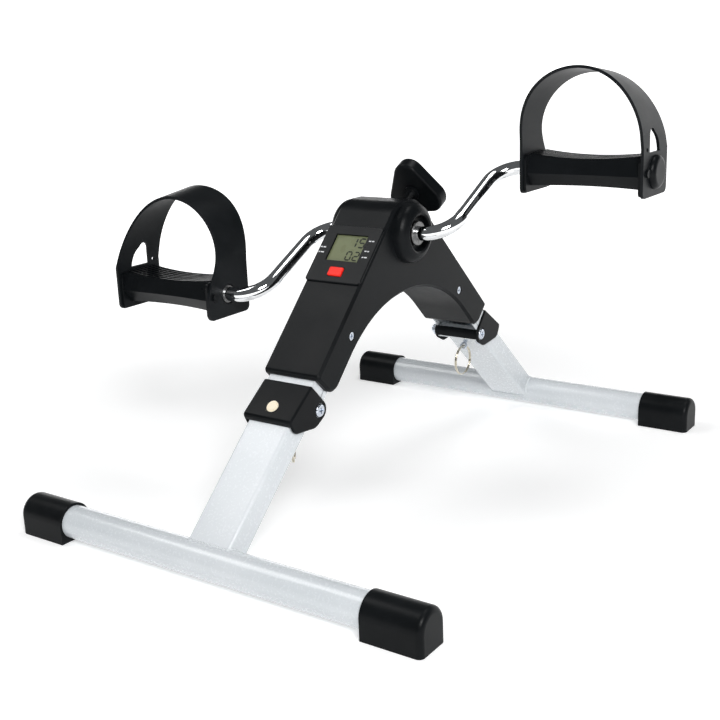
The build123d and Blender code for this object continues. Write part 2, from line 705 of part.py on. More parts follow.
with BuildPart() as shoe_carrier:
    with BuildSketch(knob_plane(DRUM_RADIUS + 4)):
        Rectangle(2 * CHEEK_INNER - 0.6, 13.0)
    extrude(amount=3.0)
save(shoe_carrier.part, "shoe_carrier")

with BuildPart() as tension_screw:
    with BuildSketch(knob_plane(DRUM_RADIUS + 7)):
        Circle(STUD_RADIUS)
    extrude(amount=KNOB_START + 6 - DRUM_RADIUS - 7)
save(tension_screw.part, "tension_screw")

with BuildPart() as tension_knob:
    with BuildSketch(knob_plane(KNOB_START)) as knob_outline:
        RegularPolygon(KNOB_APOTHEM, 3, major_radius=False, rotation=KNOB_TURN)
        fillet(knob_outline.vertices(), radius=KNOB_CORNER)
    extrude(amount=KNOB_THICK)
    fillet(tension_knob.edges(), radius=2.5)
    with BuildSketch(knob_plane(KNOB_START - 2)):
        Circle(7.0)
    extrude(amount=3.0)
    with BuildSketch(knob_plane(KNOB_START - 7)):
        Circle(STUD_RADIUS)
    extrude(amount=13.0, mode=Mode.SUBTRACT)
save(tension_knob.part, "tension_knob")

# ------------------------------------------------------------------ display
WINDOW = (31.6, 26.0)
WINDOW_UP = 5.75
BUTTON = (13.6, 8.4)
BUTTON_UP = -18.0
with BuildPart() as display_case:
    with BuildSketch(display_plane()):
        RectangleRounded(2 * HOUSING_HALF_WIDTH - 0.6, DISPLAY_BOTTOM - DISPLAY_TOP, 3.0)
    extrude(amount=-DISPLAY_PROUD)
    with BuildSketch(display_plane(-DISPLAY_PROUD)):
        Rectangle(45.0, 47.0)
    extrude(amount=-14.0)
    with BuildSketch(display_plane(-DISPLAY_PROUD)):
        Rectangle(42.6, 45.0)
    extrude(amount=-12.6, mode=Mode.SUBTRACT)
    with BuildSketch(display_plane()):
        with Locations((0, WINDOW_UP)):
            Rectangle(*WINDOW)
        with Locations((0, BUTTON_UP)):
            Rectangle(BUTTON[0] + 0.4, BUTTON[1] + 0.4)
    extrude(amount=-DISPLAY_PROUD, mode=Mode.SUBTRACT)
    chamfer(display_case.faces().sort_by(Axis((0, 0, 0), (0, -1, 1)))[-1].outer_wire().edges(), 0.6)
save(display_case.part, "display_case")

with BuildPart() as display_window:
    with BuildSketch(display_plane(-DISPLAY_PROUD)):
        with Locations((0, WINDOW_UP)):
            Rectangle(WINDOW[0] + 4, WINDOW[1] + 4)
    extrude(amount=-1.0)
save(display_window.part, "display_window")

with BuildPart() as lcd_panel:
    with BuildSketch(display_plane(-DISPLAY_PROUD - 1.0)):
        with Locations((0, WINDOW_UP)):
            Rectangle(WINDOW[0] + 4, WINDOW[1] + 4)
    extrude(amount=-2.0)
save(lcd_panel.part, "lcd_panel")

with BuildPart() as circuit_board:
    with BuildSketch(display_plane(-DISPLAY_PROUD - 7.0)):
        Rectangle(41.6, 43.6)
    extrude(amount=-1.6)
save(circuit_board.part, "circuit_board")

with BuildPart() as button_switch:
    with BuildSketch(display_plane(-DISPLAY_PROUD - 7.0)):
        with Locations((0, BUTTON_UP)):
            Rectangle(6.0, 6.0)
    extrude(amount=2.2)
save(button_switch.part, "button_switch")

with BuildPart() as battery:
    with BuildSketch(display_plane(-DISPLAY_PROUD - 8.6)):
        Circle(10.0)
    extrude(amount=-3.2)
save(battery.part, "battery")

BUTTON_PROUD = 1.2
with BuildPart() as reset_button:
    with BuildSketch(display_plane(BUTTON_PROUD)):
        with Locations((0, BUTTON_UP)):
            RectangleRounded(*BUTTON, 1.5)
    extrude(amount=-(BUTTON_PROUD + DISPLAY_PROUD + 1.2))
    fillet(reset_button.faces().sort_by(Axis((0, 0, 0), (0, -1, 1)))[-1].edges(), radius=0.7)
    with BuildSketch(display_plane(-DISPLAY_PROUD - 0.4)):
        with Locations((0, BUTTON_UP)):
            Rectangle(BUTTON[0] + 3.0, BUTTON[1] - 1.0)
    extrude(amount=-0.8)
    with BuildSketch(display_plane(-DISPLAY_PROUD - 1.2)):
        with Locations((0, BUTTON_UP)):
            Circle(2.0)
    extrude(amount=-2.4)
save(reset_button.part, "reset_button")

with BuildPart() as button_dome:
    with BuildSketch(display_plane(-DISPLAY_PROUD - 1.2)):
        with Locations((0, BUTTON_UP)):
            Circle(3.0)
            Circle(2.3, mode=Mode.SUBTRACT)
    extrude(amount=-3.6)
save(button_dome.part, "button_dome")

# ------------------------------------------------------------------ pedals
SPINDLE_HOLE = ROD_RADIUS + RUNNING_GAP
PLATE_THICK = 2.5
body_inner = PEDAL_INNER + STRAP_THICK
body_outer = PEDAL_OUTER - STRAP_THICK
pedal_middle = (PEDAL_INNER + PEDAL_OUTER) / 2
strap_half = (PEDAL_OUTER - PEDAL_INNER) / 2
strap_start_top = STRAP_TOP + STRAP_SLOPE * (STRAP_START - 33)
strap_spring = strap_start_top - strap_half  # height where the arch starts
strap_foot = PEDAL_LOW - 5


# tread sections: x, top height, half depth at the top, at mid height and at the bottom, bottom height
TREAD = (
    (body_inner + PLATE_THICK, 13.5, 18.0, 23.0, 15.5, -13.0),
    (pedal_middle, 10.0, 17.0, 20.5, 12.0, -12.0),
    (body_outer - PLATE_THICK, 13.5, 18.0, 23.0, 15.5, -13.0),
)

for side in SIDES:
    place = pedal_places[side]
    with BuildPart() as pedal_body:
        for x, top, half_top, half_mid, half_low, low in TREAD:
            with BuildSketch(Plane.YZ.offset(x)):
                with BuildLine():
                    Polyline(
                        (-half_top, top),
                        (half_top, top),
                        (half_mid, -2.0),
                        (half_low, low),
                        (-half_low, low),
                        (-half_mid, -2.0),
                        close=True,
                    )
                make_face()
        loft()
        for x in (body_inner, body_outer - PLATE_THICK):
            with BuildSketch(Plane.YZ.offset(x)):
                with Locations((0, (14.0 + PEDAL_LOW) / 2)):
                    RectangleRounded(2 * PEDAL_HALF_DEPTH - 4.0, 12.0 - PEDAL_LOW, 4.0)
            extrude(amount=PLATE_THICK)
        with BuildSketch(Plane.YZ.offset(body_inner)):
            Circle(SPINDLE_HOLE + 0.5)
        extrude(amount=body_outer - body_inner, mode=Mode.SUBTRACT)
        with BuildSketch(Plane.YZ.offset(body_inner)):
            Circle(8.0)
        extrude(amount=14.0, mode=Mode.SUBTRACT)
        with BuildSketch(Plane.YZ.offset(body_outer)):
            Circle(8.0)
        extrude(amount=-14.0, mode=Mode.SUBTRACT)
    save(pedal_body.part, f"{side}_pedal_body", place)

    with BuildPart() as pedal_bushes:
        for x, step in ((body_inner, 14.0), (body_outer - 4.0, -10.0)):
            with BuildSketch(Plane.YZ.offset(x)):
                Circle(8.0)
                Circle(SPINDLE_HOLE, mode=Mode.SUBTRACT)
            extrude(amount=step)
    save(pedal_bushes.part, f"{side}_pedal_bushes", place)

    with BuildPart() as spindle_cap:
        with BuildSketch(Plane.YZ.offset(body_outer)):
            Circle(13.8)
        extrude(amount=PEDAL_OUTER + 4.7 - body_outer)
        fillet(spindle_cap.faces().sort_by(Axis.X)[-1].edges(), radius=4.4)
    save(spindle_cap.part, f"{side}_spindle_cap", place)

    with BuildPart() as strap:
        with BuildSketch(Plane.XZ.offset(STRAP_START)):
            with BuildLine():
                for x_in, x_out, top in (
                    (PEDAL_INNER, PEDAL_OUTER, strap_start_top),
                    (PEDAL_INNER + STRAP_THICK, PEDAL_OUTER - STRAP_THICK, strap_start_top - STRAP_THICK),
                ):
                    Line((x_in, strap_foot), (x_in, strap_spring))
                    ThreePointArc((x_in, strap_spring), (pedal_middle, top), (x_out, strap_spring))
                    Line((x_out, strap_spring), (x_out, strap_foot))
                Line((PEDAL_INNER, strap_foot), (PEDAL_INNER + STRAP_THICK, strap_foot))
                Line((PEDAL_OUTER, strap_foot), (PEDAL_OUTER - STRAP_THICK, strap_foot))
            make_face()
        # the arch sinks slightly towards the back of the strap
        extrude(amount=2 * STRAP_START * sqrt(1 + STRAP_SLOPE**2), dir=(0, 1, -STRAP_SLOPE))
        for sign, front, back in (
            (1, ((-31.0, 40), (-35.5, 62)), ((5.5, 70), (14, 44), (PEDAL_HALF_DEPTH, 18))),
            (-1, ((-27.0, 40), (-31, 62)), ((6.0, 64), (10, 34), (21, 10))),
        ):
            with BuildSketch(Plane.YZ.offset(pedal_middle)):
                with Locations((0, 40)):
                    Rectangle(160, 160)
                with BuildLine():
                    for turn in (-1, 1):
                        edge = turn * PEDAL_HALF_DEPTH
                        ThreePointArc(
                            (edge - turn * 5, PEDAL_LOW),
                            (edge - turn * 1.46, PEDAL_LOW + 1.46),
                            (edge, PEDAL_LOW + 5),
                        )
                    Line((-PEDAL_HALF_DEPTH, PEDAL_LOW + 5), (-PEDAL_HALF_DEPTH, 20))
                    Spline((-PEDAL_HALF_DEPTH, 20), *front, (-33, STRAP_TOP + 1))
                    Line((-33, STRAP_TOP + 1), (3, STRAP_TOP + 1))
                    Spline((3, STRAP_TOP + 1), *back)
                    Polyline(back[-1], (PEDAL_HALF_DEPTH, 0), (PEDAL_HALF_DEPTH, PEDAL_LOW + 5))
                    Line((PEDAL_HALF_DEPTH - 5, PEDAL_LOW), (5 - PEDAL_HALF_DEPTH, PEDAL_LOW))
                make_face(mode=Mode.SUBTRACT)
            extrude(amount=sign * (strap_half + 1), mode=Mode.SUBTRACT)
        with BuildSketch(Plane.YZ.offset(pedal_middle)):
            with BuildLine():
                Line((8.5, 16.2), (-13, 16.2))
                Line((-13, 16.2), (-13, 29))
                ThreePointArc((-13, 29), (-9.2, 35.2), (-3, 32.5))
                ThreePointArc((-3, 32.5), (4.8, 25.5), (8.5, 16.2))
            make_face()
            Circle(13.8)
            with Locations((-18.5, 19)):
                Circle(1.7)
        extrude(amount=60, mode=Mode.SUBTRACT)
        with BuildSketch(Plane.YZ.offset(pedal_middle)):
            Circle(8.3)
        extrude(amount=-60, mode=Mode.SUBTRACT)
    save(strap.part, f"{side}_strap", place)

    with BuildPart() as strap_studs:
        for x, y, step in ((PEDAL_OUTER, -17.9, 1.8), (PEDAL_INNER, 17.9, -1.8)):
            with BuildSketch(Plane.YZ.offset(x)):
                with Locations((y, 0.5)):
                    Circle(3.2)
            extrude(amount=step)
    save(strap_studs.part, f"{side}_strap_studs", place)

# rings on the crank's spindles that keep the pedals in place
for name, start, width, radius in (
    ("spindle_clips", body_outer - 3.6, 1.6, 7.6),
    ("spindle_stops", PEDAL_INNER + 0.3, 2.0, 7.4),
):
    with BuildPart() as rings:
        with BuildSketch(Plane.YZ.offset(start)):
            Circle(radius)
            Circle(ROD_RADIUS, mode=Mode.SUBTRACT)
        extrude(amount=width)
    with BuildPart() as ring_pair:
        for place in pedal_places.values():
            add(place.from_local_coords(rings.part))
    save(ring_pair.part, name)
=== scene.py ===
"""Looks for the folding pedal exerciser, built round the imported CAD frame.  Metres, +Z up."""

from math import cos, pi, radians, sin, sqrt

import bmesh
import bpy
from mathutils import Matrix, Vector


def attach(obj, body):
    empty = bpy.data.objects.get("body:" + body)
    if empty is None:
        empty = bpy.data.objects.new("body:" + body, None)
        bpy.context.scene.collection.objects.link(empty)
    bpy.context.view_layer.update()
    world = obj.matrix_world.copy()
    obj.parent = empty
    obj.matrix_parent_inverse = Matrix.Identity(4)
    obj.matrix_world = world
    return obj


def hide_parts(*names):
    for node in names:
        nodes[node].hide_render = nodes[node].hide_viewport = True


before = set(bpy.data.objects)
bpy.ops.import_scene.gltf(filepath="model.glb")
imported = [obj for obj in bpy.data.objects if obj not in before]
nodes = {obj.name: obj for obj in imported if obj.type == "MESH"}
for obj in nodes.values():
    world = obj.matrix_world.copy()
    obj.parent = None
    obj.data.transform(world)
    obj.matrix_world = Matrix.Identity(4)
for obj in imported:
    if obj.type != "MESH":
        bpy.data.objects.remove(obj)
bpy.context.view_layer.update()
MM = 0.001

# ------------------------------------------------------------------ sizes shared with the CAD part
APEX = 264.8
AXLE_Z = 221.6
THROW = 101.2
TILT = radians(26.9)
HINGE_ALONG, HINGE_DEPTH = 18.7, 23.7
LEG_ANGLE = radians(42.5)
FOOT_Y, FOOT_Z, FOOT_R = 241.0, 15.0, 13.35
LEG_DEPTH, LEG_WIDTH, HINGE_BELOW = 21.5, 40.5, 21.2
PEDAL_IN, PEDAL_OUT = 97.3, 205.0
DISPLAY_MID = -110.25
DISPLAY_PROUD = 1.8
ENDS = {"far": 1, "near": -1}
SIDES = {"right": 1, "left": -1}


def arm(along, depth):
    """(y, z) of a place along the far arm and square into it."""
    return APEX / 2 + (along - depth) / sqrt(2), APEX / 2 - (along + depth) / sqrt(2)


HINGE = arm(HINGE_ALONG, HINGE_DEPTH)


def leg(along, depth):
    """(y, z) of a place down the far leg and in from its outer face."""
    inward = depth - HINGE_BELOW
    y = HINGE[0] + along * cos(LEG_ANGLE) - inward * sin(LEG_ANGLE)
    z = HINGE[1] - along * sin(LEG_ANGLE) - inward * cos(LEG_ANGLE)
    return y, z


# ------------------------------------------------------------------ materials
def new_material(name, color, rough, metal=0.0, coat=0.0):
    """A principled material and its node tree."""
    material = bpy.data.materials.new(name)
    material.use_nodes = True
    tree = material.node_tree
    shader = tree.nodes["Principled BSDF"]
    shader.inputs["Base Color"].default_value = (*color, 1)
    shader.inputs["Roughness"].default_value = rough
    shader.inputs["Metallic"].default_value = metal
    shader.inputs["Coat Weight"].default_value = coat
    return material, tree, shader


def add_noise(tree, scale, detail=3.0, rough=0.55):
    """Noise in object space."""
    place = tree.nodes.new("ShaderNodeTexCoord")
    noise = tree.nodes.new("ShaderNodeTexNoise")
    noise.inputs["Scale"].default_value = scale
    noise.inputs["Detail"].default_value = detail
    noise.inputs["Roughness"].default_value = rough
    tree.links.new(place.outputs["Object"], noise.inputs["Vector"])
    return noise.outputs["Fac"]


def add_range(tree, source, low, high, start=0.3, end=0.7):
    """Maps a noise value to a range."""
    node = tree.nodes.new("ShaderNodeMapRange")
    node.inputs["From Min"].default_value = start
    node.inputs["From Max"].default_value = end
    node.inputs["To Min"].default_value = low
    node.inputs["To Max"].default_value = high
    tree.links.new(source, node.inputs["Value"])
    return node.outputs["Result"]


def add_bump(tree, shader, source, strength, distance):
    """Bump from a value, chained onto any bump already there."""
    bump = tree.nodes.new("ShaderNodeBump")
    bump.inputs["Strength"].default_value = strength
    bump.inputs["Distance"].default_value = distance
    tree.links.new(source, bump.inputs["Height"])
    taken = shader.inputs["Normal"].links
    if taken:
        tree.links.new(taken[0].from_socket, bump.inputs["Normal"])
    tree.links.new(bump.outputs["Normal"], shader.inputs["Normal"])


def add_tint(tree, shader, source, dark, light):
    """Base colour that drifts between two colours."""
    ramp = tree.nodes.new("ShaderNodeValToRGB")
    ramp.color_ramp.elements[0].position = 0.3
    ramp.color_ramp.elements[1].position = 0.7
    ramp.color_ramp.elements[0].color = (*dark, 1)
    ramp.color_ramp.elements[1].color = (*light, 1)
    tree.links.new(source, ramp.inputs["Fac"])
    tree.links.new(ramp.outputs["Color"], shader.inputs["Base Color"])


def moulded(name, dark, light, rough, grain=2600.0, depth=0.00004, strength=0.35, shine=0.09):
    """Moulded plastic or rubber: fine spark-eroded grain, faint flow marks in colour and gloss."""
    material, tree, shader = new_material(name, light, rough)
    shader.inputs["Specular IOR Level"].default_value = shine
    slow = add_noise(tree, 28.0, 4.0)
    add_tint(tree, shader, slow, dark, light)
    tree.links.new(add_range(tree, slow, rough - 0.05, rough + 0.05), shader.inputs["Roughness"])
    add_bump(tree, shader, add_noise(tree, grain, 2.0, 0.6), strength, depth)
    return material


def metal(name, dark, light, rough, spread=0.05, scale=300.0):
    """Plated or plain metal with uneven gloss."""
    material, tree, shader = new_material(name, light, rough, 1.0)
    patch = add_noise(tree, scale, 4.0)
    add_tint(tree, shader, patch, dark, light)
    tree.links.new(add_range(tree, patch, rough - spread, rough + spread), shader.inputs["Roughness"])
    add_bump(tree, shader, add_noise(tree, scale * 4, 2.0), 0.1, 0.00002)
    return material


def powder_coat(name, dark, light):
    """Glossy powder coat with its orange peel."""
    material, tree, shader = new_material(name, light, 0.24, 0.0, 0.25)
    shader.inputs["Coat Roughness"].default_value = 0.12
    add_tint(tree, shader, add_noise(tree, 14.0, 3.0), dark, light)
    peel = add_noise(tree, 520.0, 2.0, 0.5)
    tree.links.new(add_range(tree, peel, 0.2, 0.3), shader.inputs["Roughness"])
    add_bump(tree, shader, peel, 0.22, 0.00012)
    return material


BLACK = moulded("black_moulding", (0.0035, 0.0042, 0.0048), (0.0065, 0.0075, 0.0085), 0.36)
SMOOTH_BLACK = moulded(
    "smooth_black", (0.0035, 0.0042, 0.0048), (0.006, 0.007, 0.008), 0.30, 1800.0, 0.00002, 0.2
)
STRAP_BLACK = moulded(
    "strap_black", (0.005, 0.006, 0.0068), (0.010, 0.0115, 0.013), 0.37, 1500.0, 0.00004, 0.3
)
CAP_BLACK = moulded(
    "cap_rubber_black", (0.004, 0.0048, 0.0054), (0.008, 0.0092, 0.0102), 0.34, 900.0, 0.00006, 0.3
)
WHITE = powder_coat("white_powder_coat", (0.60, 0.635, 0.66), (0.655, 0.685, 0.71))
CHROME = metal("bright_chrome", (0.78, 0.79, 0.80), (0.86, 0.87, 0.88), 0.06, 0.02, 160.0)
ZINC = metal("zinc_plate", (0.45, 0.50, 0.58), (0.70, 0.74, 0.80), 0.26, 0.08, 700.0)
STEEL = metal("plain_steel", (0.30, 0.30, 0.30), (0.48, 0.48, 0.48), 0.35, 0.08, 500.0)
DARK_STEEL = metal("oiled_steel", (0.10, 0.10, 0.10), (0.22, 0.22, 0.22), 0.34, 0.08, 500.0)
NICKEL = metal("nickel_ring", (0.55, 0.51, 0.42), (0.72, 0.68, 0.58), 0.2, 0.05, 400.0)
BUFF = moulded("buff_pin_end", (0.84, 0.75, 0.58), (0.92, 0.84, 0.68), 0.35, 900.0, 0.00004, 0.2)
RED = moulded("button_red_gloss", (0.80, 0.018, 0.010), (0.90, 0.026, 0.015), 0.22, 900.0, 0.00001, 0.1)
LCD = moulded("lcd_olive", (0.125, 0.142, 0.074), (0.160, 0.178, 0.096), 0.28, 1600.0, 0.000005, 0.1)
INK = moulded("lcd_ink", (0.012, 0.014, 0.010), (0.02, 0.022, 0.016), 0.35)
PRINT = moulded("white_print", (0.55, 0.56, 0.58), (0.7, 0.71, 0.73), 0.5)
NYLON = moulded("bush_nylon_black", (0.01, 0.01, 0.01), (0.02, 0.02, 0.02), 0.4)
FELT = moulded("felt_lining", (0.10, 0.09, 0.08), (0.2, 0.18, 0.15), 0.9, 1500.0, 0.0002, 0.8)
BOARD = moulded("solder_mask", (0.01, 0.08, 0.03), (0.02, 0.14, 0.05), 0.3)

FINISH = {
    BLACK: ("housing_left", "housing_right", "far_hinge_cover", "near_hinge_cover"),
    SMOOTH_BLACK: ("display_case", "tension_knob", "button_switch", "reed_switch"),
    WHITE: ("main_frame",),
    CHROME: ("crank_rod", "tension_screw"),
    ZINC: ("hinge_bolts", "hinge_nuts", "housing_screws", "tension_nut", "battery"),
    STEEL: ("brake_drum", "shoe_carrier", "sensor_magnet", "spindle_clips"),
    DARK_STEEL: ("crank_collars", "spindle_stops"),
    NYLON: ("crank_bushes", "button_dome"),
    FELT: ("brake_pad",),
    BOARD: ("circuit_board",),
    BUFF: ("lock_sockets",),
    RED: ("reset_button",),
    LCD: ("lcd_panel", "display_window"),
}
for end in ENDS:
    FINISH[WHITE] += tuple(f"{end}_{part}" for part in ("leg_tube", "hinge_barrel", "foot_tube"))
    FINISH[ZINC] += (f"{end}_lock_pin", f"{end}_stop_screw")
    FINISH[STEEL] += (f"{end}_pin_spring",)
    FINISH[NICKEL] = FINISH.get(NICKEL, ()) + (f"{end}_pull_ring",)
    FINISH[CAP_BLACK] = FINISH.get(CAP_BLACK, ()) + (f"{end}_left_foot_cap", f"{end}_right_foot_cap")
for side in SIDES:
    FINISH[NYLON] += (f"{side}_pedal_bushes",)
    FINISH[SMOOTH_BLACK] += (f"{side}_pedal_body", f"{side}_spindle_cap", f"{side}_strap_studs")
    FINISH[STRAP_BLACK] = FINISH.get(STRAP_BLACK, ()) + (f"{side}_strap",)
finish_of = {name: material for material, names in FINISH.items() for name in names}

for name, node in nodes.items():
    node.data.materials.clear()
    node.data.materials.append(finish_of[name])

# moulded and formed parts get the small edge radius that the CAD solids leave out
EDGES = {
    "housing_left": 0.5, "housing_right": 0.5, "display_case": 0.3, "far_hinge_cover": 0.35,
    "near_hinge_cover": 0.35, "main_frame": 0.25, "tension_knob": 0.4, "reset_button": 0.3,
}
for side in SIDES:
    EDGES[f"{side}_strap"] = 0.7
    EDGES[f"{side}_pedal_body"] = 0.6
    for end in ENDS:
        EDGES[f"{end}_{side}_foot_cap"] = 0.9


def soften(piece, width, segments=3):
    """Welds the facets and rounds the sharp edges."""
    weld = piece.modifiers.new("weld", "WELD")
    weld.merge_threshold = 0.00002
    bevel = piece.modifiers.new("edge", "BEVEL")
    bevel.width = width * MM
    bevel.segments = segments
    bevel.limit_method = "ANGLE"
    bevel.angle_limit = radians(32)
    bevel.harden_normals = False
    smooth = piece.modifiers.new("shade", "WEIGHTED_NORMAL")
    smooth.keep_sharp = True
    for face in piece.data.polygons:
        face.use_smooth = True


for name, width in EDGES.items():
    soften(nodes[name], width)

# ------------------------------------------------------------------ new pieces
def add_piece(name, shape, material, body, smooth=True):
    """Turns a bmesh into a shown piece that rides on a body and takes a slot's finish."""
    bmesh.ops.recalc_face_normals(shape, faces=shape.faces)
    mesh = bpy.data.meshes.new(name)
    shape.to_mesh(mesh)
    shape.free()
    piece = bpy.data.objects.new(name, mesh)
    bpy.context.scene.collection.objects.link(piece)
    mesh.materials.append(material)
    for face in mesh.polygons:
        face.use_smooth = smooth
    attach(piece, body)
    return piece


def turned(x, y, z, out=1):
    """A place in metres; out -1 turns it half round the object's Z axis."""
    return Vector((out * x, out * y, z)) * MM


def sweep(shape, points, radii, square, closed=False, sides=10):
    """Round wire through points in metres; square is a direction that the wire stays off."""
    count = len(points)
    rings = []
    for i, point in enumerate(points):
        before = points[i - 1] if closed or i else point
        after = points[(i + 1) % count] if closed or i + 1 < count else point
        along = (after - before).normalized()
        first = (square - along * square.dot(along)).normalized()
        second = along.cross(first)
        turns = [2 * pi * k / sides for k in range(sides)]
        ring = [point + (first * cos(t) + second * sin(t)) * radii[i] * MM for t in turns]
        rings.append([shape.verts.new(spot) for spot in ring])
    for i in range(count if closed else count - 1):
        a, b = rings[i], rings[(i + 1) % count]
        for k in range(sides):
            shape.faces.new((a[k], a[(k + 1) % sides], b[(k + 1) % sides], b[k]))
    if not closed:
        shape.faces.new(rings[0])
        shape.faces.new(rings[-1])


# split rings of two turns of wire, in place of the plain ones
for end, out in ENDS.items():
    twist = radians(-28.0) if end == "near" else 0.0
    lean = radians(8.0) if end == "far" else 0.0
    outward = Vector((sin(twist), cos(LEG_ANGLE) * cos(twist), 0)).normalized()
    flat = outward.cross(Vector((0, 0, 1)))
    middle = Vector((0, *leg(15.8, 28.4))) - (outward * sin(lean) + Vector((0, 0, cos(lean)))) * 14.0
    path = []
    steps = 150
    for i in range(steps + 1):
        turn = pi + 0.3 + (4 * pi - 0.6) * i / steps
        cross = max(-1.0, min(1.0, (turn - 3 * pi) / 0.5))
        spot = middle + (outward * sin(turn) + Vector((0, 0, cos(turn)))) * 14.0 + flat * 0.62 * cross
        path.append(turned(*spot, out))
    shape = bmesh.new()
    sweep(shape, path, [0.62] * len(path), Vector((flat.x * out, flat.y * out, 0)))
    ring = add_piece(f"{end}_split_ring", shape, NICKEL, f"{end}_ring")
    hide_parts(f"{end}_pull_ring")

# weld beads where the legs run into the foot tubes
foot_rel = (FOOT_Y - HINGE[0], HINGE[1] - FOOT_Z)
FOOT_ALONG = foot_rel[0] * cos(LEG_ANGLE) + foot_rel[1] * sin(LEG_ANGLE)
FOOT_DEPTH = HINGE_BELOW - foot_rel[0] * sin(LEG_ANGLE) + foot_rel[1] * cos(LEG_ANGLE)


def leg_outline(corner=2.6, step=0.7):
    """Points (x, depth) round a leg's section."""
    half_x, half_d = LEG_WIDTH / 2, LEG_DEPTH / 2
    points = []
    for k in range(4):
        way_x, way_d = ((1, 1), (-1, 1), (-1, -1), (1, -1))[k]
        mid_x, mid_d = way_x * (half_x - corner), way_d * (half_d - corner)
        for j in range(7):
            t = pi / 2 * (k + j / 6)
            points.append((mid_x + corner * cos(t), mid_d + corner * sin(t) + half_d))
    dense = []
    for i, (x, d) in enumerate(points):
        next_x, next_d = points[(i + 1) % len(points)]
        pieces = max(1, int(sqrt((next_x - x) ** 2 + (next_d - d) ** 2) / step))
        for j in range(pieces):
            dense.append((x + (next_x - x) * j / pieces, d + (next_d - d) * j / pieces))
    return dense


for end, out in ENDS.items():
    path = []
    for x, depth in leg_outline():
        off = depth - FOOT_DEPTH
        path.append(turned(x, *leg(FOOT_ALONG - sqrt(FOOT_R ** 2 - off ** 2), depth), out))
    radii = [1.25 + 0.22 * sin(i * 2 * pi / 4.2) + 0.12 * sin(i * 0.37) for i in range(len(path))]
    shape = bmesh.new()
    down = Vector((0, out * cos(LEG_ANGLE), -sin(LEG_ANGLE)))
    sweep(shape, path, radii, down, closed=True, sides=8)
    add_piece(f"{end}_weld_bead", shape, WHITE, f"{end}_leg")

# ribs along the top of each pedal
for side, out in SIDES.items():
    shape = bmesh.new()
    inner, outer = PEDAL_IN + 5.2, PEDAL_OUT - 5.2
    for k in range(7):
        dy = (k - 3) * 4.9
        rows = []
        for i in range(15):
            x = inner + (outer - inner) * i / 14
            top = 10.0 + 3.5 * ((x - (inner + outer) / 2) / (outer - inner) * 2) ** 2
            section = ((-1.1, -0.4), (-0.75, 0.75), (0.75, 0.75), (1.1, -0.4))
            row = [
                turned(x, dy + a + THROW * cos(TILT), top + b + THROW * sin(TILT) * out, out)
                for a, b in section
            ]
            rows.append([shape.verts.new(spot + Vector((0, 0, AXLE_Z * MM))) for spot in row])
        for a, b in zip(rows, rows[1:]):
            for j in range(4):
                shape.faces.new((a[j], a[(j + 1) % 4], b[(j + 1) % 4], b[j]))
        shape.faces.new(rows[0])
        shape.faces.new(rows[-1])
    add_piece(f"{side}_tread_ribs", shape, SMOOTH_BLACK, f"{side}_pedal", smooth=False)


def on_display(right, up, height):
    """A place in metres on the display: right, up its slope and out from the case's face."""
    y, z = arm(DISPLAY_MID, -DISPLAY_PROUD - height)
    return Vector((right, -y + up / sqrt(2), z + up / sqrt(2))) * MM


def add_patch(shape, corners, height, thick=0.05):
    """Thin raised polygon on the display."""
    low = [shape.verts.new(on_display(x, y, height - thick)) for x, y in corners]
    high = [shape.verts.new(on_display(x, y, height + thick)) for x, y in corners]
    count = len(corners)
    shape.faces.new(low)
    shape.faces.new(high)
    for i in range(count):
        shape.faces.new((low[i], low[(i + 1) % count], high[(i + 1) % count], high[i]))


def bar(x0, y0, x1, y1, half):
    """Corners of a segment between two points, with pointed ends."""
    dx, dy = x1 - x0, y1 - y0
    length = sqrt(dx * dx + dy * dy)
    ux, uy = dx / length * half, dy / length * half
    return (
        (x0, y0), (x0 + ux - uy, y0 + uy + ux), (x1 - ux - uy, y1 - uy + ux),
        (x1, y1), (x1 - ux + uy, y1 - uy - ux), (x0 + ux + uy, y0 + uy - ux),
    )


SEGMENTS = {"1": "bc", "5": "afgcd", "9": "abcdfg", "0": "abcdef", "2": "abged"}


def add_digit(shape, digit, left, low, width, tall, half, height):
    """Seven-segment digit."""
    mid = low + tall / 2
    top, right = low + tall, left + width
    gap = 0.15
    lines = {
        "a": (left + gap, top, right - gap, top), "d": (left + gap, low, right - gap, low),
        "g": (left + gap, mid, right - gap, mid), "f": (left, mid + gap, left, top - gap),
        "b": (right, mid + gap, right, top - gap), "e": (left, low + gap, left, mid - gap),
        "c": (right, low + gap, right, mid - gap),
    }
    for name in SEGMENTS[digit]:
        add_patch(shape, bar(*lines[name], half), height)


shape = bmesh.new()
for digit, left in (("1", 0.6), ("5", 8.8)):
    add_digit(shape, digit, left, 8.0, 5.2, 8.6, 0.75, -1.8)
for digit, left in (("0", 1.4), ("2", 8.6)):
    add_digit(shape, digit, left, -4.8, 4.6, 8.0, 0.7, -1.8)
add_piece("display_digits", shape, INK, "frame", smooth=False)

shape = bmesh.new()
marks = ((-26.0, 4.25, (2.2, 2.6)), (-26.0, -0.75, (1.8, 3.2)))
marks += ((18.4, 13.2, (2.4, 2.0)), (18.4, 3.3, (2.0, 1.8)), (18.4, -2.6, (1.6, 2.6)))
for left, up, words in marks:
    for word in words:
        add_patch(shape, ((left, up), (left + word, up), (left + word, up + 1.1), (left, up + 1.1)), 0.0)
        left += word + 0.7
add_piece("display_marks", shape, PRINT, "frame", smooth=False)

